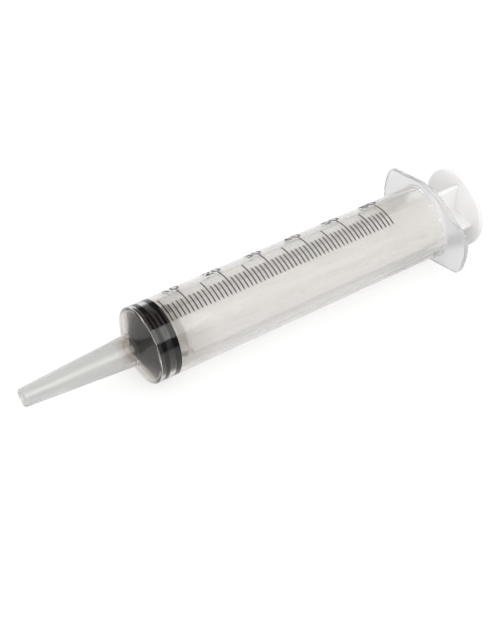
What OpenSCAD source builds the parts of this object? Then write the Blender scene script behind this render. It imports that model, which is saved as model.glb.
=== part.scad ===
// Catheter tip syringe of 60 ml, lying on its finger flange with the plunger all but home.
// +X runs from the tip to the thumb press, +Z is up, and the origin is the centre of the tip's opening.

/* [Scale] */
// Last mark of the scale in millilitres
capacity = 60; // [20:10:70]
// Width of a printed line
line_w = 0.45; // [0.25:0.05:0.8]
// Thickness of the printed ink
ink_t = 0.06; // [0.03:0.01:0.12]
// Height of a numeral
digit_h = 4.8; // [2.5:0.1:6]
// Width of a numeral
digit_w = 3; // [2:0.1:3.2]
// Width of a numeral's stroke
digit_stroke = 0.62; // [0.3:0.02:0.8]
// Space between the two numerals of a number
digit_gap = 0.7; // [0.3:0.1:1]

/* [Barrel] */
// Diameter of the bore that the stopper slides in
bore_d = 26.6; // [24:0.1:32]
// Thickness of the barrel's wall and of its conical front
wall = 1.6; // [1.2:0.1:2.2]
// Slope of the conical front, from a flat face
front_angle = 24.5; // [15:0.5:32]
// Length of barrel from the last mark to the finger flange
grip_run = 21.8; // [14:0.2:40]
// Rounding of the barrel's front rim
rim_edge = 0.5; // [0.2:0.1:0.9]
// Height of the ring inside the mouth that keeps the stopper in
bead_h = 0.45; // [0.2:0.05:0.8]
// Width of that ring's crest
bead_w = 1.2; // [0.6:0.1:2]
// Distance from the mouth to that ring's crest
bead_setback = 2; // [1.5:0.1:4]
// Chamfer at the barrel's mouth
mouth_edge = 0.5; // [0.2:0.1:0.8]

/* [Catheter tip] */
// Length of the tip in front of the conical front
tip_len = 43.5; // [30:0.5:55]
// Outer diameter of the tip's end
tip_end_d = 7; // [6.4:0.1:8.5]
// Taper of the tip's outside on each side
tip_taper = 3.5; // [2:0.1:4.5]
// Rounding of the tip's end
tip_edge = 0.5; // [0.2:0.1:0.8]
// Diameter of the straight bore in the tip's end
tip_bore_d = 4.4; // [3:0.1:4.8]
// Length of that straight bore
tip_bore_len = 12; // [8:0.5:20]
// Wall of the tip where it meets the conical front
tip_root_wall = 1.6; // [1.2:0.1:2]
// Fillet between the tip and the conical front
tip_fillet = 0.8; // [0.4:0.1:1.2]

/* [Finger flange] */
// Length of the flange from end to end
flange_len = 50.6; // [46:0.2:64]
// Width of the flange at its middle
flange_w = 32.4; // [31.6:0.2:38]
// Thickness of the flange
flange_t = 2; // [1.6:0.1:3]
// Slope of the flange's long edges
flange_slope = 20; // [10:1:24]
// Radius of the soft bend in the middle of each long edge
flange_bend_r = 26; // [16:1:40]
// Radius of the flange's four corners
flange_corner_r = 3.6; // [2:0.1:6]
// Rounding of the flange's edges
flange_edge = 0.4; // [0.2:0.05:0.6]

/* [Stopper] */
// Clearance between the stopper's ribs and the bore
rib_clear = 0.03; // [0.01:0.01:0.05]
// Length of the stopper behind the zero mark
stopper_len = 8.4; // [7:0.1:12]
// Distance from the zero mark to the front of the first sealing rib
rib_lead = 1.35; // [0.8:0.05:1.8]
// Width of the first sealing rib
first_rib_w = 2.15; // [1.6:0.05:2.6]
// Width of the second sealing rib
second_rib_w = 2.7; // [2:0.1:3.2]
// Depth of the groove between the ribs
groove_depth = 1.2; // [0.6:0.1:1.8]
// Slope of the ribs' flanks, as a run along the axis
rib_flank = 0.35; // [0.1:0.05:0.6]
// Height of the shoulder between the first rib and the stopper's cone
shoulder_h = 1.27; // [0.8:0.01:1.6]
// Distance from the cone's point to the zero mark
nose_lead = 4.9; // [4:0.1:5.6]
// Diameter of the flat at the cone's point
nose_d = 3; // [2:0.1:4]
// Rubber left between the rod's head and the front of the stopper
nose_wall = 2.8; // [2.4:0.1:3.4]

/* [Plunger rod] */
// Width of the cross-shaped vanes
vane_w = 24; // [20:0.2:25]
// Thickness of the vanes
vane_t = 1.6; // [1.2:0.1:2.4]
// Radius of the fillets where the vanes cross
vane_fillet = 0.8; // [0.4:0.1:1.5]
// Diameter of the two discs behind the stopper
disc_d = 20.6; // [17:0.2:23]
// Thickness of each disc
disc_t = 1.6; // [1.2:0.1:2.2]
// Space between the two discs
disc_space = 2.8; // [1.5:0.1:5]
// Diameter of the head that snaps into the stopper
head_d = 16; // [14:0.1:17]
// Length of the head's straight part
head_len = 3.6; // [3:0.1:5]
// Diameter of the neck behind the head
neck_d = 11.6; // [9:0.1:12]
// Clearance of the head and neck in the stopper
snap_clear = 0.2; // [0.1:0.05:0.3]
// Diameter of the thumb press
thumb_d = 32.6; // [30:0.2:40]
// Thickness of the thumb press
thumb_t = 2; // [1.6:0.1:3]
// Rounding of the thumb press's edges
thumb_edge = 0.5; // [0.2:0.05:0.7]
// Gap between the flange and the thumb press
thumb_gap = 13.2; // [12.5:0.1:20]

/* [Hidden] */
$fn = 96;

// A millilitre is the volume of a cube with this edge, so it fills this length of the bore
ml_cube = 10;
bore_r = bore_d / 2;
ml_len = pow(ml_cube, 3) / (PI * pow(bore_r, 2));

// The steps of the scale in millilitres
middle_step = 5;
number_step = 10;
// The scale's angles about the axis, from +Y towards +Z
line_end_angle = 113;
line_arc = 26.5;
middle_arc = 41;
number_arc = 50;
// The numerals stand past the upper end of their line, a little towards the tip
digit_rise = 0.5;
digit_lead = 1.2;
// A slanted stroke is this much wider at its foot than an upright one
slant = 1.35;

barrel_r = bore_r + wall;
front_slope = tan(front_angle);
front_wall = wall / cos(front_angle);
tip_end_r = tip_end_d / 2;
tip_root_r = tip_end_r + tip_len * tan(tip_taper);
tip_bore_r = tip_bore_d / 2;
tip_channel_r = tip_root_r - tip_root_wall;
// Places along the axis
rim_x = tip_len + (barrel_r - tip_root_r) * front_slope;
zero_x = tip_len + front_wall + (bore_r - tip_root_r) * front_slope;
scale_len = capacity * ml_len;
flange_x = zero_x + scale_len + grip_run;
mouth_x = flange_x + flange_t;
bead_x = mouth_x - bead_setback - bead_w;
channel_x = zero_x - (bore_r - tip_channel_r) * front_slope;

stopper_r = bore_r - rib_clear;
stopper_rear_x = zero_x + stopper_len;
groove_r = stopper_r - groove_depth;
cavity_r = head_d / 2 + snap_clear;
collar_r = neck_d / 2 + snap_clear;
nose_x = zero_x - nose_lead;
cavity_nose_x = nose_x + nose_wall;
cavity_x = cavity_nose_x + cavity_r * front_slope;
cavity_len = head_len + 2 * snap_clear;

head_r = head_d / 2;
head_nose_x = cavity_nose_x + snap_clear;
head_x = cavity_x + snap_clear;
disc_x = stopper_rear_x + snap_clear;
disc_edge = disc_t / 4;
second_disc_x = disc_x + disc_t + disc_space;
vane_x = second_disc_x + disc_t;
thumb_x = mouth_x + thumb_gap;

// Cuts run past the face that they cut by this much
over = 1;

// Turns a shape about Z into one about X, with angles counted from +Y towards +Z
module along_x() {
    rotate([0, 90, 0])
        rotate([0, 0, 90])
            children();
}

// Revolves a list of points, each a radius and a place along X
module turned(points) {
    along_x()
        rotate_extrude()
            polygon(points);
}

// Cylinder along X from one place to another
module rod_x(r, x0, x1) {
    translate([x0, 0, 0])
        along_x()
            cylinder(r = r, h = x1 - x0);
}

// Points of an arc, from one angle to another
function arc(centre, r, a0, a1, steps) =
    [for (i = [0:steps]) centre + r * [cos(a0 + (a1 - a0) * i / steps), sin(a0 + (a1 - a0) * i / steps)]];

// The flange's outline: round ends, sloped long edges with a soft bend, and round corners
end_r = flange_len / 2;
bend_centre_z = flange_w / 2 - flange_bend_r;
edge_offset = flange_bend_r + bend_centre_z * cos(flange_slope) - flange_corner_r;
corner_dist = end_r - flange_corner_r;
corner_angle = 90 - flange_slope - acos(edge_offset / corner_dist);
corner = corner_dist * [cos(corner_angle), sin(corner_angle)];
quarter = concat(
    arc([0, 0], end_r, 0, corner_angle, 6),
    arc(corner, flange_corner_r, corner_angle, 90 - flange_slope, 8),
    arc([0, bend_centre_z], flange_bend_r, 90 - flange_slope, 90, 8)
);

// The four quarters of the outline, in order round it, each without its last point
function half(points) = [for (i = [0:len(points) - 2]) points[i]];
function mirrored(points) = [for (i = [len(points) - 1:-1:1]) [-points[i][0], points[i][1]]];
function turned_half(points) = [for (p = points) -p];
upper_edge = concat(half(quarter), mirrored(quarter));
flange_outline = concat(upper_edge, turned_half(upper_edge));

module flange_layer(inset, x0, x1) {
    share = 1 - inset / end_r;
    translate([x0, 0, 0])
        along_x()
            linear_extrude(x1 - x0)
                scale([share, share])
                    polygon(flange_outline);
}

module flange_plate() {
    flange_layer(flange_edge, flange_x, mouth_x);
    flange_layer(0, flange_x + flange_edge, mouth_x - flange_edge);
}

// The barrel, its conical front and the tip, as one outer shape
module barrel_outside() {
    turned(concat(
        [[0, 0], [tip_end_r - tip_edge, 0], [tip_end_r + tip_edge * tan(tip_taper), tip_edge]],
        [
            [tip_root_r - tip_fillet * tan(tip_taper), tip_len - tip_fillet],
            [tip_root_r + tip_fillet, tip_len + tip_fillet * front_slope]
        ],
        [
            [barrel_r - rim_edge, rim_x - rim_edge * front_slope],
            [barrel_r, rim_x + rim_edge],
            [barrel_r, mouth_x],
            [0, mouth_x]
        ]
    ));
}

// The bore with its ring, the inside of the conical front and the tip's channel
module barrel_inside() {
    turned([
        [0, -over],
        [tip_bore_r, -over],
        [tip_bore_r, tip_bore_len],
        [tip_channel_r, channel_x],
        [bore_r, zero_x],
        [bore_r, bead_x - bead_h],
        [bore_r - bead_h, bead_x],
        [bore_r - bead_h, bead_x + bead_w],
        [bore_r, bead_x + bead_w + bead_h],
        [bore_r, mouth_x - mouth_edge],
        [bore_r + mouth_edge + over, mouth_x + over],
        [0, mouth_x + over]
    ]);
}

module barrel() {
    color("gainsboro")
        difference() {
            union() {
                barrel_outside();
                flange_plate();
            }
            barrel_inside();
        }
}

// One printed line of the scale, round the barrel
module scale_line(ml, sweep) {
    translate([zero_x + ml * ml_len - line_w / 2, 0, 0])
        along_x()
            rotate([0, 0, line_end_angle - sweep])
                rotate_extrude(angle = sweep)
                    translate([barrel_r, 0])
                        square([ink_t, line_w]);
}

function line_sweep(ml) = ml % number_step == 0 ? number_arc : ml % middle_step == 0 ? middle_arc : line_arc;

module scale_lines() {
    color("dimgray")
        for (ml = [0:capacity])
            scale_line(ml, line_sweep(ml));
}

// The numerals, drawn with strokes round the edge of a box from its lower left corner
module stadium(w, h) {
    translate([w / 2, w / 2])
        circle(d = w);
    translate([w / 2, h - w / 2])
        circle(d = w);
    translate([0, w / 2])
        square([w, h - w]);
}

module ring(d) {
    difference() {
        circle(d = d);
        circle(d = d - 2 * digit_stroke);
    }
}

module zero() {
    difference() {
        stadium(digit_w, digit_h);
        translate([digit_stroke, digit_stroke])
            stadium(digit_w - 2 * digit_stroke, digit_h - 2 * digit_stroke);
    }
}

module one() {
    stem_x = digit_w / 2;
    translate([stem_x, 0])
        square([digit_stroke, digit_h]);
    polygon([
        [stem_x, digit_h],
        [stem_x, digit_h - 2 * digit_stroke],
        [digit_stroke, digit_h - 3 * digit_stroke],
        [digit_stroke, digit_h - 2 * digit_stroke]
    ]);
}

module two() {
    bowl_r = digit_w / 2;
    centre_y = digit_h - bowl_r;
    join_y = centre_y - bowl_r / 2;
    outer_x = bowl_r + sqrt(pow(bowl_r, 2) - pow(bowl_r / 2, 2));
    inner_x = bowl_r + sqrt(pow(bowl_r - digit_stroke, 2) - pow(bowl_r / 2, 2));
    square([digit_w, digit_stroke]);
    difference() {
        translate([bowl_r, centre_y])
            ring(digit_w);
        translate([-over, centre_y - digit_w])
            square([bowl_r + over, digit_w]);
        translate([bowl_r - over, centre_y - digit_w])
            square([bowl_r + 2 * over, digit_w - bowl_r / 2]);
    }
    polygon([[0, digit_stroke], [digit_stroke * slant, digit_stroke], [outer_x, join_y], [inner_x, join_y]]);
}

module three() {
    bowl_d = (digit_h + digit_stroke) / 2;
    bowl_x = digit_w - bowl_d / 2;
    difference() {
        for (y = [bowl_d / 2, digit_h - bowl_d / 2])
            translate([bowl_x, y])
                ring(bowl_d);
        translate([-over, bowl_d / 4])
            square([bowl_x + over, digit_h - bowl_d / 2]);
    }
    translate([digit_w / 3, (digit_h - digit_stroke) / 2])
        square([bowl_x - digit_w / 3, digit_stroke]);
}

module four() {
    bar_y = digit_h / 4;
    stem_x = digit_w - 2 * digit_stroke;
    translate([0, bar_y])
        square([digit_w, digit_stroke]);
    translate([stem_x, 0])
        square([digit_stroke, digit_h]);
    polygon([[0, bar_y], [digit_stroke * slant, bar_y], [stem_x + digit_stroke, digit_h], [stem_x, digit_h]]);
}

module five() {
    bowl_r = digit_w / 2;
    translate([digit_stroke / 2, digit_h - digit_stroke])
        square([digit_w - digit_stroke, digit_stroke]);
    translate([digit_stroke / 2, bowl_r * 2 - digit_stroke])
        square([digit_stroke, digit_h - bowl_r * 2 + digit_stroke]);
    translate([digit_stroke / 2, bowl_r * 2 - digit_stroke])
        square([bowl_r, digit_stroke]);
    difference() {
        translate([bowl_r, bowl_r])
            ring(digit_w);
        translate([-over, bowl_r - digit_stroke])
            square([bowl_r + over, bowl_r + digit_stroke + over]);
    }
}

module six() {
    bowl_r = digit_w / 2;
    translate([bowl_r, bowl_r])
        ring(digit_w);
    translate([0, bowl_r])
        square([digit_stroke, digit_h - digit_w]);
    difference() {
        translate([bowl_r, digit_h - bowl_r])
            ring(digit_w);
        translate([-over, digit_h - digit_w - over])
            square([digit_w + 2 * over, bowl_r + over]);
    }
}

module digit(value) {
    if (value == 0) zero();
    if (value == 1) one();
    if (value == 2) two();
    if (value == 3) three();
    if (value == 4) four();
    if (value == 5) five();
    if (value == 6) six();
}

// A number of two digits, seen from outside with its foot at the angle where its line ends
module number(ml) {
    digit_arc = 180 / PI * (digit_rise + digit_h / 2) / barrel_r;
    angle = line_end_angle - number_arc - digit_arc;
    digits_w = 2 * digit_w + digit_gap;
    intersection() {
        rotate([angle - 90, 0, 0])
            translate([zero_x + ml * ml_len - digit_lead - digits_w / 2, -digit_h / 2, barrel_r - wall])
                linear_extrude(2 * wall) {
                    digit(floor(ml / number_step));
                    translate([digit_w + digit_gap, 0])
                        digit(0);
                }
        difference() {
            rod_x(barrel_r + ink_t, zero_x, flange_x);
            rod_x(barrel_r, zero_x - over, flange_x + over);
        }
    }
}

module scale_numerals() {
    color("dimgray")
        for (ml = [number_step:number_step:capacity])
            number(ml);
}

// The rubber stopper: a cone in front, two sealing ribs with a groove between, and a snap-in hollow
module stopper() {
    first_front_x = zero_x + rib_lead;
    first_rear_x = first_front_x + first_rib_w;
    second_front_x = stopper_rear_x - second_rib_w;
    color("#202022")
        difference() {
            turned([
                [0, nose_x],
                [nose_d / 2, nose_x],
                [stopper_r - shoulder_h, first_front_x - rib_flank / 2],
                [stopper_r - rib_flank, first_front_x],
                [stopper_r, first_front_x + rib_flank],
                [stopper_r, first_rear_x],
                [groove_r, first_rear_x + rib_flank],
                [groove_r, second_front_x - rib_flank],
                [stopper_r, second_front_x],
                [stopper_r, stopper_rear_x - rib_flank],
                [stopper_r - rib_flank, stopper_rear_x],
                [0, stopper_rear_x]
            ]);
            turned([
                [0, cavity_nose_x],
                [cavity_r, cavity_x],
                [cavity_r, cavity_x + cavity_len],
                [collar_r, cavity_x + cavity_len],
                [collar_r, stopper_rear_x + over],
                [0, stopper_rear_x + over]
            ]);
        }
}

// One disc of the rod, with its edges taken off
module rod_disc(x, d, t, edge) {
    r = d / 2;
    turned([[0, x], [r - edge, x], [r, x + edge], [r, x + t - edge], [r - edge, x + t], [0, x + t]]);
}

// The four vanes as one cross with fillets in its corners
module cross_section(w) {
    inner = vane_t / 2;
    square([w, vane_t], center = true);
    square([vane_t, w], center = true);
    for (side = [0, 90, 180, 270])
        rotate(side)
            difference() {
                square(inner + vane_fillet);
                translate([inner + vane_fillet, inner + vane_fillet])
                    circle(r = vane_fillet);
            }
}

module vanes(w, x0, x1) {
    translate([x0, 0, 0])
        along_x()
            linear_extrude(x1 - x0)
                cross_section(w);
}

module plunger_rod() {
    color("whitesmoke")
        union() {
            turned([
                [0, head_nose_x],
                [head_r, head_x],
                [head_r, head_x + head_len],
                [neck_d / 2, head_x + head_len],
                [neck_d / 2, disc_x + disc_t / 2],
                [0, disc_x + disc_t / 2]
            ]);
            rod_disc(disc_x, disc_d, disc_t, disc_edge);
            vanes(disc_d - 2 * disc_edge, disc_x + disc_t / 2, second_disc_x + disc_t / 2);
            rod_disc(second_disc_x, disc_d, disc_t, disc_edge);
            vanes(vane_w, vane_x - disc_edge, thumb_x + thumb_t / 2);
            rod_disc(thumb_x, thumb_d, thumb_t, thumb_edge);
        }
}

barrel();
scale_lines();
scale_numerals();
stopper();
plunger_rod();
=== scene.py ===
"""Looks of a 60 ml catheter tip syringe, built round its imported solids.

The tip's opening is at the origin and the axis runs along +X. Lengths are in millimetres, and go to metres
where a piece is made. The camera and the lamps are placed in metres.
"""

import math

import bpy
from mathutils import Matrix, Vector


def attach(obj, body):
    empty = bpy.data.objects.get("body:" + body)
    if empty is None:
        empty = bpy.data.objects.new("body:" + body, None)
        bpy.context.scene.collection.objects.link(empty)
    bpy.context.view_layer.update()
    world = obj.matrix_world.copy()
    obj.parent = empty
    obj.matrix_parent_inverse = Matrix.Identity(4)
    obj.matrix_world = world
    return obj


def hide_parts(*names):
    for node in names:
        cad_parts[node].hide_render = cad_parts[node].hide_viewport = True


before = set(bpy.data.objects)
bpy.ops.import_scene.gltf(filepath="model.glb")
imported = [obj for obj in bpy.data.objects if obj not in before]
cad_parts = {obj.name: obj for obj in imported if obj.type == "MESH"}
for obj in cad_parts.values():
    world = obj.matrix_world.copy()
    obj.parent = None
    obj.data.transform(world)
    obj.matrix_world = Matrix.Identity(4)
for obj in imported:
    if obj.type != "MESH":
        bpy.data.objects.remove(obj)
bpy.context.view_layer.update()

MM = 0.001
QUARTER = math.pi / 2
ROUND = 192  # sides of the barrel's and the stopper's round forms
ROD_ROUND = 96  # sides of the rod's round forms
FLANGE_ROUND = 180  # sides of the disc that the flange is cut from
BEVEL_STEPS = 4
NEAR = 0.01  # two places closer than this count as one
MERGE = 0.002  # corners closer than this become one

# The barrel, with the sizes of its solid
WALL = 1.6
TIP_LEN = 43.5
TIP_END_R = 3.5
TIP_TAPER = math.radians(3.5)
TIP_BORE_R = 2.2
TIP_BORE_LEN = 12.0
TIP_CHAMFER = 0.2  # at the opening, on the inside
TIP_ROOT_R = TIP_END_R + TIP_LEN * math.tan(TIP_TAPER)
CHANNEL_R = TIP_ROOT_R - WALL
BORE_R = 13.3
BARREL_R = BORE_R + WALL
FRONT_ANGLE = math.radians(24.5)
FRONT_SLOPE = math.tan(FRONT_ANGLE)
FRONT_WALL = WALL / math.cos(FRONT_ANGLE)
RIM_X = TIP_LEN + (BARREL_R - TIP_ROOT_R) * FRONT_SLOPE
ZERO_X = TIP_LEN + FRONT_WALL + (BORE_R - TIP_ROOT_R) * FRONT_SLOPE
CHANNEL_X = ZERO_X - (BORE_R - CHANNEL_R) * FRONT_SLOPE

# The finger flange, and the ring inside the mouth
FLANGE_X = 178.281
FLANGE_T = 2.0
FLANGE_END_R = 25.3
FLANGE_HALF_W = 16.2
FLANGE_SLOPE = math.radians(20)
BEND_R = 26.0
CORNER_R = 3.6
MOUTH_X = FLANGE_X + FLANGE_T
BEAD_W = 1.2
BEAD_H = 0.45
BEAD_SETBACK = 2.0  # from the mouth to the ring's crest
BEAD_X = MOUTH_X - BEAD_SETBACK - BEAD_W

# Roundings of the barrel, from the tip to the mouth, outside and then inside
TIP_EDGE = 0.5
TIP_FILLET = 1.33
RIM_EDGE = 0.78
FLANGE_FILLET = 0.8
FLANGE_EDGE = 0.4
CHANNEL_BLEND = 6.0
THROAT_EDGE = 1.2
FRONT_FILLET = 0.3
BEAD_EDGE = 0.4
MOUTH_EDGE = 0.5

# The rod's snap head, and its clearance in the stopper's hollow
HEAD_R = 8.0
HEAD_LEN = 3.6
NECK_R = 5.8
SNAP_CLEAR = 0.2

# The stopper. Its ribs are squeezed against the bore, so that no air is left between
RIB_SQUEEZE = 0.02
RIB_R = BORE_R + RIB_SQUEEZE
RIB_LEAD = 1.35  # from the zero mark to the first rib
RIB_FLANK = 0.35
FIRST_RIB_W = 2.15
SECOND_RIB_W = 2.7
GROOVE_R = 12.07
SHOULDER_R = 12.0
STOPPER_LEN = 8.4
FIRST_RIB_X = ZERO_X + RIB_LEAD
FIRST_RIB_REAR_X = FIRST_RIB_X + FIRST_RIB_W
STOPPER_REAR_X = ZERO_X + STOPPER_LEN
SECOND_RIB_X = STOPPER_REAR_X - SECOND_RIB_W
NOSE_LEAD = 4.9  # from the cone's point to the zero mark
NOSE_R = 1.5
NOSE_WALL = 2.8
NOSE_X = ZERO_X - NOSE_LEAD
CAVITY_R = HEAD_R + SNAP_CLEAR
CAVITY_NOSE_X = NOSE_X + NOSE_WALL
CAVITY_X = CAVITY_NOSE_X + CAVITY_R * FRONT_SLOPE
CAVITY_REAR_X = CAVITY_X + HEAD_LEN + 2 * SNAP_CLEAR
COLLAR_R = NECK_R + SNAP_CLEAR
STOPPER_POLE_R = 0.25  # the cone's point is a small flat

# Roundings of the rubber
NOSE_EDGE = 0.8
SHOULDER_EDGE = 0.5
RIB_EDGE = 0.4
RUBBER_EDGE = 0.3
CAVITY_FILLET = 0.2

# The plunger rod
HEAD_NOSE_X = CAVITY_NOSE_X + SNAP_CLEAR
HEAD_X = CAVITY_X + SNAP_CLEAR
HEAD_REAR_X = HEAD_X + HEAD_LEN
DISC_R = 10.3
DISC_T = 1.6
DISC_SPACE = 2.8
DISC_X = STOPPER_REAR_X + SNAP_CLEAR
SECOND_DISC_X = DISC_X + DISC_T + DISC_SPACE
VANE_W = 24.0
VANE_T = 1.6
VANE_SINK = 0.4  # how far the vanes reach into the second disc
VANE_X = SECOND_DISC_X + DISC_T - VANE_SINK
THUMB_R = 16.3
THUMB_T = 2.0
THUMB_GAP = 13.2
THUMB_X = MOUTH_X + THUMB_GAP
ROD_POLE_R = 0.5  # turned shapes of the rod end in a flat of this radius

# Roundings of the rod
HEAD_EDGE = 0.4
HEAD_REAR_EDGE = 0.3
NECK_FILLET = 0.2
DISC_EDGE = 0.4
VANE_FILLET = 0.8
VANE_EDGE = 0.3
THUMB_EDGE = 0.5
SHORT_VANE_W = 2 * DISC_R - 2 * DISC_EDGE

# The camera stands and looks as the photograph's does
CAMERA_PLACE = (-0.134869, -0.296145, 0.398976)
LOOK_AZIMUTH = math.radians(37.9534)  # from +Y towards +X
LOOK_DOWN = math.radians(47.3567)
ROLL = math.radians(5.7131)
LENS = 84.333  # focal length for a sensor whose longer side is the next value
SENSOR = 36.0


def place_camera():
    """Sets up the camera, which comes first in the making."""
    data = bpy.data.cameras.new("camera")
    data.sensor_width = SENSOR
    data.lens = LENS
    data.clip_start = 0.05
    camera = bpy.data.objects.new("camera", data)
    bpy.context.collection.objects.link(camera)
    bpy.context.scene.camera = camera
    camera.location = CAMERA_PLACE
    camera.rotation_mode = "XYZ"
    aim = Matrix.Rotation(-LOOK_AZIMUTH, 4, "Z") @ Matrix.Rotation(QUARTER - LOOK_DOWN, 4, "X")
    camera.rotation_euler = (aim @ Matrix.Rotation(ROLL, 4, "Z")).to_euler()


place_camera()

# Modelling, as by hand


def let_go():
    """Leaves edit mode and selects nothing."""
    if bpy.context.object is not None and bpy.context.object.mode != "OBJECT":
        bpy.ops.object.mode_set(mode="OBJECT")
    bpy.ops.object.select_all(action="DESELECT")


def take_up(piece):
    """Makes a piece the only one selected, and the active one."""
    let_go()
    bpy.context.view_layer.objects.active = piece
    piece.select_set(True)


def add_ring(name, x, r, sides=ROUND, fill="NOTHING"):
    """A ring of edges round the X axis, as the active object in edit mode with the ring selected."""
    let_go()
    bpy.ops.mesh.primitive_circle_add(
        vertices=sides, radius=r * MM, fill_type=fill, location=(x * MM, 0, 0), rotation=(0, QUARTER, 0)
    )
    piece = bpy.context.object
    piece.name = piece.data.name = name
    bpy.ops.object.transform_apply(location=True, rotation=True, scale=True)
    bpy.ops.object.mode_set(mode="EDIT")
    return piece


def select_where(piece, wanted, kind="VERT"):
    """In edit mode, selects the vertices, edges or faces whose corners all pass a test in millimetres."""
    bpy.ops.mesh.select_mode(type=kind)
    bpy.ops.mesh.select_all(action="DESELECT")
    bpy.ops.object.mode_set(mode="OBJECT")
    mesh = piece.data
    places = [v.co / MM for v in mesh.vertices]
    if kind == "VERT":
        for v in mesh.vertices:
            v.select = wanted(places[v.index])
    else:
        for e in mesh.edges if kind == "EDGE" else mesh.polygons:
            e.select = all(wanted(places[i]) for i in e.vertices)
    bpy.ops.object.mode_set(mode="EDIT")


def select_lengthwise(piece, wanted):
    """In edit mode, selects the edges along the axis whose two ends pass a test in millimetres."""
    bpy.ops.mesh.select_mode(type="EDGE")
    bpy.ops.mesh.select_all(action="DESELECT")
    bpy.ops.object.mode_set(mode="OBJECT")
    mesh = piece.data
    for e in mesh.edges:
        a, b = (mesh.vertices[i].co / MM for i in e.vertices)
        e.select = wanted(a) and wanted(b) and abs(a.x - b.x) > 1
    bpy.ops.object.mode_set(mode="EDIT")


def on_ring(x, r):
    """A test for places on a ring round the X axis."""
    return lambda p: abs(p.x - x) < NEAR and abs(math.hypot(p.y, p.z) - r) < NEAR


def rounded(corners, steps=6):
    """A profile of (x, r) places from corners of (x, r, rounding), with an arc at each rounded corner."""
    path = [corners[0][:2]]
    for (ax, ar, _), (bx, br, radius), (cx, cr, _) in zip(corners, corners[1:], corners[2:]):
        if radius == 0:
            path.append((bx, br))
            continue
        into = math.atan2(br - ar, bx - ax)
        out = math.atan2(cr - br, cx - bx)
        turn = (out - into + math.pi) % (2 * math.pi) - math.pi
        side = math.copysign(1, turn)
        tangent = radius * math.tan(abs(turn) / 2)
        mid_x = bx - tangent * math.cos(into) - side * radius * math.sin(into)
        mid_r = br - tangent * math.sin(into) + side * radius * math.cos(into)
        for i in range(steps + 1):
            a = into + turn * i / steps - side * QUARTER
            path.append((mid_x + radius * math.cos(a), mid_r + radius * math.sin(a)))
    return path + [corners[-1][:2]]


def draw_ring_along(path):
    """Extrudes the selected ring, which is at the path's first place, through all its places."""
    for (x, r), (next_x, next_r) in zip(path, path[1:]):
        bpy.ops.mesh.extrude_region_move(TRANSFORM_OT_translate={"value": ((next_x - x) * MM, 0, 0)})
        share = next_r / r
        bpy.ops.transform.resize(value=(1, share, share), center_override=(next_x * MM, 0, 0))


def finished(piece, crease=35):
    """Merges a piece's doubles, points its faces out, and shades it smooth but for its creases."""
    take_up(piece)
    bpy.ops.object.mode_set(mode="EDIT")
    bpy.ops.mesh.select_mode(type="VERT")
    bpy.ops.mesh.select_all(action="SELECT")
    bpy.ops.mesh.remove_doubles(threshold=MERGE * MM)
    bpy.ops.mesh.normals_make_consistent(inside=False)
    bpy.ops.object.mode_set(mode="OBJECT")
    bpy.ops.object.shade_smooth_by_angle(angle=math.radians(crease))
    weighted = piece.modifiers.new("even_flats", "WEIGHTED_NORMAL")
    weighted.keep_sharp = True
    weighted.weight = 60
    bpy.ops.object.modifier_apply(modifier=weighted.name)
    let_go()
    return piece


def flange_tangents():
    """A quarter of the flange's outline, as the angle from +Y and the distance of the lines that touch it.

    Each long edge has a soft bend in its middle and straight runs, and each corner is round.
    """
    bend_z = FLANGE_HALF_W - BEND_R
    run = BEND_R + bend_z * math.cos(FLANGE_SLOPE)
    corner_dist = FLANGE_END_R - CORNER_R
    run_angle = QUARTER - FLANGE_SLOPE
    corner_angle = run_angle - math.acos((run - CORNER_R) / corner_dist)
    corner_y = corner_dist * math.cos(corner_angle)
    corner_z = corner_dist * math.sin(corner_angle)
    tangents = []
    bend_steps = 6
    for i in range(bend_steps + 1):
        a = QUARTER - FLANGE_SLOPE * i / bend_steps
        tangents.append((a, BEND_R + bend_z * math.sin(a)))
    corner_steps = 7
    for i in range(1, corner_steps):
        a = run_angle + (corner_angle - run_angle) * i / corner_steps
        tangents.append((a, CORNER_R + corner_y * math.cos(a) + corner_z * math.sin(a)))
    return tangents


def cut_flange_outline():
    """Trims the disc in edit mode to the flange's outline, one straight cut after the other."""
    for a, distance in flange_tangents():
        for y_side in (1, -1):
            for z_side in (1, -1):
                normal = (0, y_side * math.cos(a), z_side * math.sin(a))
                bpy.ops.mesh.select_all(action="SELECT")
                bpy.ops.mesh.bisect(
                    plane_co=(FLANGE_X * MM, normal[1] * distance * MM, normal[2] * distance * MM),
                    plane_no=normal,
                    clear_outer=True,
                    threshold=NEAR * MM,
                )


def model_flange():
    """The finger flange as a plate with rounded edges, open where the barrel passes."""
    plate = add_ring("flange", FLANGE_X, FLANGE_END_R, sides=FLANGE_ROUND, fill="NGON")
    cut_flange_outline()
    bpy.ops.mesh.select_all(action="SELECT")
    bpy.ops.mesh.extrude_region_move(TRANSFORM_OT_translate={"value": (FLANGE_T * MM, 0, 0)})
    for x in (FLANGE_X, MOUTH_X):
        select_where(plate, lambda p, x=x: abs(p.x - x) < NEAR, "EDGE")
        bpy.ops.mesh.bevel(offset=FLANGE_EDGE * MM, segments=BEVEL_STEPS, affect="EDGES")
    for x in (FLANGE_X, MOUTH_X):
        select_where(plate, lambda p, x=x: abs(p.x - x) < NEAR, "FACE")
        bpy.ops.mesh.delete(type="ONLY_FACE")
    let_go()
    return plate


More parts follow.
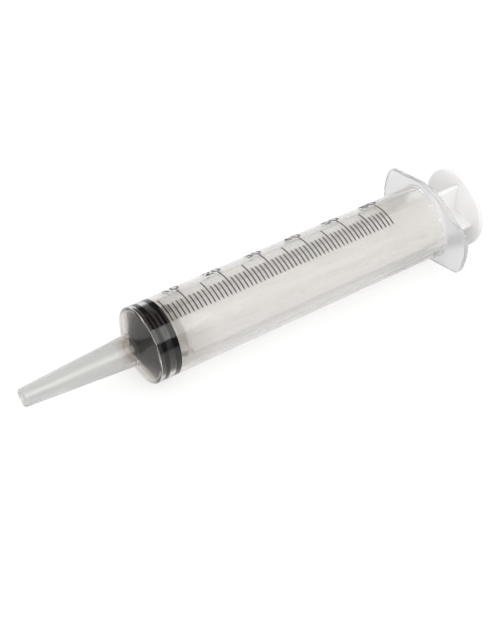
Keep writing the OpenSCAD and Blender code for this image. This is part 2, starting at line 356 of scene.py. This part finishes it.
def fill_between_rims(piece, x):
    """In edit mode, closes the flat face between a piece's two open rims at x."""
    bpy.ops.mesh.select_mode(type="EDGE")
    bpy.ops.mesh.select_all(action="DESELECT")
    bpy.ops.mesh.select_non_manifold(
        extend=False,
        use_wire=False,
        use_boundary=True,
        use_multi_face=False,
        use_non_contiguous=False,
        use_verts=False,
    )
    bpy.ops.object.mode_set(mode="OBJECT")
    mesh = piece.data
    for e in mesh.edges:
        if e.select and any(abs(mesh.vertices[i].co.x / MM - x) > NEAR for i in e.vertices):
            e.select = False
    bpy.ops.object.mode_set(mode="EDIT")
    bpy.ops.mesh.fill(use_beauty=True)


def model_barrel():
    """Tip, conical front, tube and flange as one closed moulding with its bore."""
    opening_r = TIP_BORE_R + TIP_CHAMFER
    barrel = add_ring("barrel_moulding", 0, opening_r)
    outside = rounded(
        [
            (0, opening_r, 0),
            (0, TIP_END_R, TIP_EDGE),
            (TIP_LEN, TIP_ROOT_R, TIP_FILLET),
            (RIM_X, BARREL_R, RIM_EDGE),
            (FLANGE_X, BARREL_R, FLANGE_FILLET),
            (FLANGE_X, BARREL_R + FLANGE_FILLET, 0),
        ]
    )
    draw_ring_along(outside)
    select_where(barrel, on_ring(0, opening_r))
    bead_rear_x = BEAD_X + BEAD_W
    inside = rounded(
        [
            (0, opening_r, 0),
            (TIP_CHAMFER, TIP_BORE_R, 0),
            (TIP_BORE_LEN, TIP_BORE_R, CHANNEL_BLEND),
            (CHANNEL_X, CHANNEL_R, THROAT_EDGE),
            (ZERO_X, BORE_R, FRONT_FILLET),
            (BEAD_X - BEAD_H, BORE_R, BEAD_EDGE),
            (BEAD_X, BORE_R - BEAD_H, BEAD_EDGE),
            (bead_rear_x, BORE_R - BEAD_H, BEAD_EDGE),
            (bead_rear_x + BEAD_H, BORE_R, BEAD_EDGE),
            (MOUTH_X - MOUTH_EDGE, BORE_R, MOUTH_EDGE),
            (MOUTH_X, BORE_R + MOUTH_EDGE, 0),
        ]
    )
    draw_ring_along(inside)
    flange = model_flange()
    take_up(barrel)
    flange.select_set(True)
    bpy.ops.object.join()
    bpy.ops.object.mode_set(mode="EDIT")
    for x in (FLANGE_X, MOUTH_X):
        fill_between_rims(barrel, x)
    return finished(barrel)


def model_stopper():
    """Rubber stopper: blunt cone, two rounded sealing ribs with a groove between, and the snap hollow."""
    stopper = add_ring("rubber_stopper", NOSE_X, STOPPER_POLE_R, fill="NGON")
    select_where(stopper, lambda p: True, "EDGE")
    profile = rounded(
        [
            (NOSE_X, STOPPER_POLE_R, 0),
            (NOSE_X, NOSE_R, NOSE_EDGE),
            (FIRST_RIB_X - RIB_FLANK / 2, SHOULDER_R, SHOULDER_EDGE),
            (FIRST_RIB_X, RIB_R, RUBBER_EDGE),
            (FIRST_RIB_REAR_X, RIB_R, RIB_EDGE),
            (FIRST_RIB_REAR_X + RIB_FLANK, GROOVE_R, RUBBER_EDGE),
            (SECOND_RIB_X - RIB_FLANK, GROOVE_R, RUBBER_EDGE),
            (SECOND_RIB_X, RIB_R, RIB_EDGE),
            (STOPPER_REAR_X, RIB_R, RIB_EDGE),
            (STOPPER_REAR_X, COLLAR_R, RUBBER_EDGE),
            (CAVITY_REAR_X, COLLAR_R, RUBBER_EDGE),
            (CAVITY_REAR_X, CAVITY_R, CAVITY_FILLET),
            (CAVITY_X, CAVITY_R, RUBBER_EDGE),
            (CAVITY_NOSE_X, STOPPER_POLE_R, 0),
        ]
    )
    draw_ring_along(profile)
    bpy.ops.mesh.edge_face_add()
    return finished(stopper)


def unite(piece, other):
    """Makes two overlapping shapes one moulding."""
    take_up(piece)
    union = piece.modifiers.new("union", "BOOLEAN")
    union.operation = "UNION"
    union.solver = "EXACT"
    union.object = other
    bpy.ops.object.modifier_apply(modifier=union.name)
    bpy.data.objects.remove(other)


def model_vanes(name, width, x0, x1):
    """Four crossed vanes: a square core with its sides drawn out, filleted and rounded along its edges."""
    let_go()
    bpy.ops.mesh.primitive_cube_add(size=1, location=((x0 + x1) / 2 * MM, 0, 0))
    vanes = bpy.context.object
    vanes.name = name
    vanes.scale = ((x1 - x0) * MM, VANE_T * MM, VANE_T * MM)
    bpy.ops.object.transform_apply(location=True, rotation=True, scale=True)
    bpy.ops.object.mode_set(mode="EDIT")
    half = VANE_T / 2
    reach = (width - VANE_T) / 2
    for axis, side in ((1, 1), (1, -1), (2, 1), (2, -1)):

        def on_side(p, axis=axis, side=side):
            return abs(p[axis] - side * half) < NEAR and abs(p[3 - axis]) < half + NEAR

        select_where(vanes, on_side, "FACE")
        move = [0, 0, 0]
        move[axis] = side * reach * MM
        bpy.ops.mesh.extrude_region_move(TRANSFORM_OT_translate={"value": move})
    for radius, wanted in (
        (VANE_FILLET, lambda p: abs(abs(p.y) - half) < NEAR and abs(abs(p.z) - half) < NEAR),
        (VANE_EDGE, lambda p: max(abs(p.y), abs(p.z)) > width / 2 - NEAR),
    ):
        select_lengthwise(vanes, wanted)
        bpy.ops.mesh.bevel(offset=radius * MM, segments=BEVEL_STEPS, affect="EDGES")
    let_go()
    return vanes


def model_turned(name, corners):
    """A closed turned shape of the rod from corners of (x, r, rounding), with a flat at each end."""
    path = rounded(corners, steps=4)
    piece = add_ring(name, path[0][0], path[0][1], sides=ROD_ROUND, fill="NGON")
    select_where(piece, lambda p: True, "EDGE")
    draw_ring_along(path)
    bpy.ops.mesh.edge_face_add()
    bpy.ops.mesh.select_all(action="SELECT")
    bpy.ops.mesh.normals_make_consistent(inside=False)
    let_go()
    return piece


def model_disc(name, x, r, t, edge):
    """A flat disc with rounded edges, from x towards the thumb."""
    return model_turned(name, [(x, ROD_POLE_R, 0), (x, r, edge), (x + t, r, edge), (x + t, ROD_POLE_R, 0)])


def model_snap_head():
    """The head inside the stopper, with the neck that joins it to the first disc."""
    neck_end_x = DISC_X + DISC_T / 2
    return model_turned(
        "head",
        [
            (HEAD_NOSE_X, ROD_POLE_R, 0),
            (HEAD_X, HEAD_R, HEAD_EDGE),
            (HEAD_REAR_X, HEAD_R, HEAD_REAR_EDGE),
            (HEAD_REAR_X, NECK_R, NECK_FILLET),
            (neck_end_x, NECK_R, 0),
            (neck_end_x, ROD_POLE_R, 0),
        ],
    )


def model_rod():
    """Plunger rod: head, neck, two discs, vanes and thumb press as one moulding."""
    rod = model_vanes("plunger_rod_moulding", VANE_W, VANE_X, THUMB_X + THUMB_T / 2)
    unite(rod, model_vanes("short_vanes", SHORT_VANE_W, DISC_X + DISC_T / 2, SECOND_DISC_X + DISC_T / 2))
    unite(rod, model_disc("disc", DISC_X, DISC_R, DISC_T, DISC_EDGE))
    unite(rod, model_disc("disc", SECOND_DISC_X, DISC_R, DISC_T, DISC_EDGE))
    unite(rod, model_disc("press", THUMB_X, THUMB_R, THUMB_T, THUMB_EDGE))
    unite(rod, model_snap_head())
    return finished(rod, crease=30)


# Materials


def linear(hexcode):
    """A colour given as sRGB hex, in linear light."""
    parts = [int(hexcode[i:i + 2], 16) / 255 for i in (0, 2, 4)]
    return tuple(c / 12.92 if c <= 0.04045 else ((c + 0.055) / 1.055) ** 2.4 for c in parts) + (1.0,)


def add(tree, kind, sockets=None, **settings):
    """Adds a node. A socket, by name or number, takes a value or another node's output."""
    made = tree.nodes.new(kind)
    for name, value in settings.items():
        setattr(made, name, value)
    for name, value in (sockets or {}).items():
        if isinstance(value, bpy.types.NodeSocket):
            tree.links.new(value, made.inputs[name])
        else:
            made.inputs[name].default_value = value
    return made


def new_material(name):
    """An empty material, its tree, and its Object coordinates in millimetres."""
    made = bpy.data.materials.new(name)
    made.use_nodes = True
    tree = made.node_tree
    tree.nodes.clear()
    place = add(tree, "ShaderNodeTexCoord").outputs["Object"]
    in_mm = add(tree, "ShaderNodeMapping", {"Vector": place, "Scale": (1000, 1000, 1000)}).outputs[0]
    return made, tree, in_mm


POLYPROPYLENE_IOR = 1.49

# The plastic's flow leaves streaks about 3 mm wide and twenty times as long
FLOW_PER_MM = 0.35
FLOW_STRETCH = 0.05

MILK_FROM = 150.0  # from here to the flange the plastic turns milky

# Stations along the barrel, from the tip to the flange. Each has the plastic's tint there and the share of
# light that it leaves unscattered
# The grey tints from the tip to just behind the stopper are painted shade, not the plastic's own colour
BARREL_TINT_AND_PAINTED_SHADE = (
    (TIP_LEN - 7, "E2E2E0", 0.65),
    (TIP_LEN - 2, "D0CAC4", 0.85),
    (TIP_LEN + 1, "D0CAC4", 1.0),
    (RIM_X, "D0CAC4", 1.0),
    (STOPPER_REAR_X - 2, "D6D1CC", 1.0),
    (STOPPER_REAR_X + 3, "E2DFDC", 1.0),
    (STOPPER_REAR_X + 15, "F4F2F0", 1.0),
    (MILK_FROM, "F4F2F0", 1.0),
    (FLANGE_X - 4, "EFEDEA", 0.75),
    (FLANGE_X, "F4F4F5", 0.7),
)

# The steel core that forms the bore is polished round the conical front, and turns satin away from there
POLISHED_X = 50.5
POLISHED_REACH = 6.5
SATIN_REACH = 14.0
POLISHED_SHARE = 0.35  # of the satin's roughness


def clarified_polypropylene(name, roughness, polished_front=False):
    """Clarified polypropylene, injection moulded: clear, with the finish of the steel that formed the face.

    The tip and the flange cool slowly in the mould and turn milky. The grey from the tip to just behind the
    stopper is painted shade.
    """
    made, tree, mm = new_material(name)
    along = add(tree, "ShaderNodeMapping", {"Vector": mm, "Scale": (FLOW_STRETCH, 1, 1)}).outputs[0]
    streaks = {"Vector": along, "Scale": FLOW_PER_MM, "Detail": 4.0}
    flow = add(tree, "ShaderNodeTexNoise", streaks).outputs[0]
    least, most = 0.8 * roughness, 1.2 * roughness
    uneven = {"Value": flow, "From Min": 0.35, "From Max": 0.7, "To Min": least, "To Max": most}
    gloss = add(tree, "ShaderNodeMapRange", uneven).outputs[0]
    x = add(tree, "ShaderNodeSeparateXYZ", {0: mm}).outputs["X"]
    way = add(tree, "ShaderNodeMapRange", {"Value": x, "From Min": 0, "From Max": MOUTH_X}).outputs[0]
    # Tint and clearness along the axis; the grey from the tip to behind the stopper is painted shade
    ramp = add(tree, "ShaderNodeValToRGB", {"Fac": way})
    stops = ramp.color_ramp.elements
    stops.remove(stops[1])
    for i, (station, tint, clearness) in enumerate(BARREL_TINT_AND_PAINTED_SHADE):
        stop = stops[0] if i == 0 else stops.new(station / MOUTH_X)
        stop.position = station / MOUTH_X
        stop.color = linear(tint)
        stop.alpha = clearness
    if polished_front:
        away = add(tree, "ShaderNodeMath", {0: x, 1: POLISHED_X}, operation="SUBTRACT").outputs[0]
        away = add(tree, "ShaderNodeMath", {0: away}, operation="ABSOLUTE").outputs[0]
        fade = {
            "Value": away,
            "From Min": POLISHED_REACH,
            "From Max": SATIN_REACH,
            "To Min": POLISHED_SHARE,
            "To Max": 1.0,
        }
        share = add(tree, "ShaderNodeMapRange", fade).outputs[0]
        gloss = add(tree, "ShaderNodeMath", {0: gloss, 1: share}, operation="MULTIPLY").outputs[0]
    ripple = add(tree, "ShaderNodeBump", {"Strength": 0.05, "Distance": 0.02 * MM, "Height": flow})
    plastic = add(
        tree,
        "ShaderNodeBsdfPrincipled",
        {
            "Base Color": ramp.outputs["Color"],
            "Transmission Weight": ramp.outputs["Alpha"],
            "IOR": POLYPROPYLENE_IOR,
            "Roughness": gloss,
            "Normal": ripple.outputs[0],
        },
    )
    # Clear plastic throws only a faint shadow
    lets_lamps_through = add(tree, "ShaderNodeBsdfTransparent", {"Color": linear("FBFAF9")})
    rays = add(tree, "ShaderNodeLightPath").outputs
    shade = add(
        tree,
        "ShaderNodeMixShader",
        {0: rays["Is Shadow Ray"], 1: plastic.outputs[0], 2: lets_lamps_through.outputs[0]},
    )
    add(tree, "ShaderNodeOutputMaterial", {"Surface": shade.outputs[0]})
    return made


def mottled(tree, mm, per_mm, detail, one, other):
    """A colour that wanders between two sRGB hex colours, over so many spots a millimetre."""
    spots = add(tree, "ShaderNodeTexNoise", {"Vector": mm, "Scale": per_mm, "Detail": detail}).outputs[0]
    blend = {"Factor": spots, "A": linear(one), "B": linear(other)}
    return add(tree, "ShaderNodeMix", blend, data_type="RGBA").outputs["Result"]


CLOUDS_PER_MM = 0.12  # faint clouds in the plastic, 8 mm wide
FILM_PER_MM = 0.5  # patches of oil, 2 mm wide
SPECKS_PER_MM = 2.5  # specks of 0.4 mm in the print


def natural_polypropylene():
    """Natural polypropylene, injection moulded: whitish, and light passes through its thin vanes."""
    made, tree, mm = new_material("natural_polypropylene")
    plastic = add(
        tree,
        "ShaderNodeBsdfPrincipled",
        {
            "Base Color": mottled(tree, mm, CLOUDS_PER_MM, 3.0, "F8F7F6", "F4F3F2"),
            "Transmission Weight": 0.04,
            "Subsurface Weight": 1.0,
            "Subsurface Radius": (1.0, 1.0, 1.0),
            "Subsurface Scale": 4 * MM,
            "IOR": POLYPROPYLENE_IOR,
            "Roughness": 0.35,
        },
    )
    add(tree, "ShaderNodeOutputMaterial", {"Surface": plastic.outputs[0]})
    return made


def butyl_rubber():
    """Black butyl rubber, compression moulded: a film of silicone oil gives it a soft, uneven gloss."""
    made, tree, mm = new_material("black_rubber")
    film = add(tree, "ShaderNodeTexNoise", {"Vector": mm, "Scale": FILM_PER_MM, "Detail": 3.0}).outputs[0]
    uneven = {"Value": film, "From Min": 0.3, "From Max": 0.7, "To Min": 0.22, "To Max": 0.4}
    gloss = add(tree, "ShaderNodeMapRange", uneven).outputs[0]
    rubber = add(
        tree,
        "ShaderNodeBsdfPrincipled",
        {"Base Color": linear("07080B"), "Roughness": gloss, "Specular IOR Level": 0.06},
    )
    add(tree, "ShaderNodeOutputMaterial", {"Surface": rubber.outputs[0]})
    return made


def printed_ink():
    """Pad-printed ink: a dark warm grey with a satin face, a little uneven as the pad leaves it."""
    made, tree, mm = new_material("printed_ink")
    tint = mottled(tree, mm, SPECKS_PER_MM, 2.0, "32211E", "3C2A26")
    ink = add(tree, "ShaderNodeBsdfPrincipled", {"Base Color": tint, "Roughness": 0.5})
    add(tree, "ShaderNodeOutputMaterial", {"Surface": ink.outputs[0]})
    return made


# The syringe

FLANGE_FACE_R = BARREL_R + 0.3  # outside this the flange has its own finish
BORE_FACE_R = BORE_R + 0.6  # inside this a face that looks inwards was formed by the core


def lay_finishes(barrel):
    """Gives the barrel's faces their finish: 0 is polished, 1 the core's satin and 2 the milky flange."""
    for face in barrel.data.polygons:
        middle = face.center / MM
        out = math.hypot(middle.y, middle.z)
        if middle.x > FLANGE_X - NEAR and out > FLANGE_FACE_R:
            face.material_index = 2
        elif out < BORE_FACE_R and face.normal.y * middle.y + face.normal.z * middle.z < 0:
            face.material_index = 1


barrel = model_barrel()
stopper = model_stopper()
rod = model_rod()
barrel_finishes = (
    clarified_polypropylene("polished_polypropylene", roughness=0.05),
    clarified_polypropylene("satin_polypropylene", roughness=0.28, polished_front=True),
    clarified_polypropylene("milky_polypropylene", roughness=0.2),
)

for piece, body, node, slot, finishes in (
    (barrel, "barrel_body", "barrel", "barrel_plastic", barrel_finishes),
    (stopper, "stopper_body", "stopper", "stopper_rubber", (butyl_rubber(),)),
    (rod, "rod_body", "plunger_rod", "rod_plastic", (natural_polypropylene(),)),
):
    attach(piece, body)
    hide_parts(node)
    piece.data.materials.clear()
    for finish in finishes:
        piece.data.materials.append(finish)
lay_finishes(barrel)

ink = printed_ink()
for node in ("scale_lines", "scale_numerals"):
    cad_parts[node].data.materials.clear()
    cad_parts[node].data.materials.append(ink)

# Floor, backdrop and light

PAPER_LIFT = 0.65
GRAIN_PER_MM = 3.0  # paper grain of a third of a millimetre
FLOOR_SIZE = 6  # in metres
FLOOR_GAP = 0.03  # keeps the rim and the flange just off the paper


def white_paper():
    """White paper. The lift makes it plain white to the eye, in mirror images and through the plastic."""
    made, tree, mm = new_material("white_paper")
    tint = mottled(tree, mm, GRAIN_PER_MM, 2.0, "A6A6A5", "A9A9A8")
    rays = add(tree, "ShaderNodeLightPath").outputs
    seen = rays["Is Camera Ray"]
    for kind in ("Is Glossy Ray", "Is Transmission Ray"):
        seen = add(tree, "ShaderNodeMath", {0: seen, 1: rays[kind]}, operation="MAXIMUM").outputs[0]
    lift = add(tree, "ShaderNodeMath", {0: seen, 1: PAPER_LIFT}, operation="MULTIPLY").outputs[0]
    paper = add(
        tree,
        "ShaderNodeBsdfPrincipled",
        {
            "Base Color": tint,
            "Roughness": 0.9,
            "Specular IOR Level": 0.0,
            "Emission Color": (1, 1, 1, 1),
            "Emission Strength": lift,
        },
    )
    add(tree, "ShaderNodeOutputMaterial", {"Surface": paper.outputs[0]})
    return made


def lay_floor():
    """The paper under the syringe, which leans to meet both the front rim and the flange that carry it."""
    let_go()
    bpy.ops.mesh.primitive_plane_add(size=FLOOR_SIZE, location=(0, 0, 0))
    floor = bpy.context.object
    floor.name = "floor"
    lean = math.atan((FLANGE_HALF_W - BARREL_R) / (FLANGE_X + FLANGE_T / 2 - RIM_X))
    floor.rotation_euler = (0, lean, 0)
    floor.location = (RIM_X * MM, 0, -(BARREL_R + FLOOR_GAP) * MM)
    floor.data.materials.append(white_paper())


TENT = 1.0  # strength of the white all round
ROOM = 0.12  # strength of the dim room that mirror images show above the backdrop
BACKDROP_TOP = 0.05  # heights here are the upward part of a direction of length 1
ROOM_FROM = 0.22


def studio_world():
    """White all round for light and for plastic. In mirror images a dim room is above the backdrop."""
    world = bpy.data.worlds.new("studio")
    bpy.context.scene.world = world
    world.use_nodes = True
    tree = world.node_tree
    tree.nodes.clear()
    rays = add(tree, "ShaderNodeLightPath").outputs
    direction = add(tree, "ShaderNodeTexCoord").outputs["Generated"]
    height = add(tree, "ShaderNodeSeparateXYZ", {0: direction}).outputs["Z"]
    fade = {"Value": height, "From Min": BACKDROP_TOP, "From Max": ROOM_FROM, "To Min": 1.0, "To Max": ROOM}
    shown = add(tree, "ShaderNodeMapRange", fade, interpolation_type="SMOOTHSTEP").outputs[0]
    # A ray that went into the plastic counts as glossy too, but it shows no mirror image
    not_refracted = {0: 1.0, 1: rays["Is Transmission Ray"]}
    not_refracted = add(tree, "ShaderNodeMath", not_refracted, operation="SUBTRACT").outputs[0]
    mirrored = {0: rays["Is Glossy Ray"], 1: not_refracted}
    mirrored = add(tree, "ShaderNodeMath", mirrored, operation="MULTIPLY").outputs[0]
    room = add(tree, "ShaderNodeMix", {"Factor": mirrored, "A": TENT, "B": shown}, data_type="FLOAT")
    room = add(tree, "ShaderNodeMath", {0: room.outputs[0], 1: rays["Is Camera Ray"]}, operation="MAXIMUM")
    sky = add(tree, "ShaderNodeBackground", {"Color": (1, 1, 1, 1), "Strength": room.outputs[0]})
    add(tree, "ShaderNodeOutputWorld", {"Surface": sky.outputs[0]})
    world.cycles.sampling_method = "NONE"


def softbox(name, place, turn, size, radiance, in_reflections):
    """A rectangular soft light of an even radiance, turned from facing down."""
    lamp = bpy.data.lights.new(name, "AREA")
    lamp.shape = "RECTANGLE"
    lamp.size, lamp.size_y = size
    # Watts that give a Lambert panel this radiance
    lamp.energy = radiance * math.pi * size[0] * size[1]
    made = bpy.data.objects.new(name, lamp)
    bpy.context.collection.objects.link(made)
    made.location = place
    made.rotation_euler = turn.to_euler()
    made.visible_glossy = in_reflections
    made.visible_transmission = in_reflections


KEY_X = 0.15
KEY_ANGLE = math.radians(121.4)  # round the axis from +Y towards +Z
KEY_DISTANCE = 0.55
KEY_SIZE = (0.3, 0.42)
KEY_RADIANCE = 2.1
FILL_PLACE = (-1.0, -0.4, 0.5)
FILL_TARGET = (0.1, 0, 0)
FILL_SIZE = (1.0, 1.0)
FILL_RADIANCE = 0.7

lay_floor()
studio_world()
key_place = (KEY_X, KEY_DISTANCE * math.cos(KEY_ANGLE), KEY_DISTANCE * math.sin(KEY_ANGLE))
key_turn = Matrix.Rotation(KEY_ANGLE - QUARTER, 4, "X")
softbox("key_softbox", key_place, key_turn, KEY_SIZE, KEY_RADIANCE, in_reflections=True)
fill_turn = (Vector(FILL_TARGET) - Vector(FILL_PLACE)).to_track_quat("-Z", "Y")
softbox("front_fill", FILL_PLACE, fill_turn, FILL_SIZE, FILL_RADIANCE, in_reflections=False)

scene = bpy.context.scene
scene.view_settings.view_transform = "Standard"

# Light passes many faces of clear plastic, one behind the other
CLEAR_BOUNCES = 24
scene.cycles.max_bounces = CLEAR_BOUNCES
scene.cycles.transmission_bounces = CLEAR_BOUNCES
scene.cycles.glossy_bounces = CLEAR_BOUNCES
scene.cycles.transparent_max_bounces = CLEAR_BOUNCES
scene.cycles.diffuse_bounces = 8
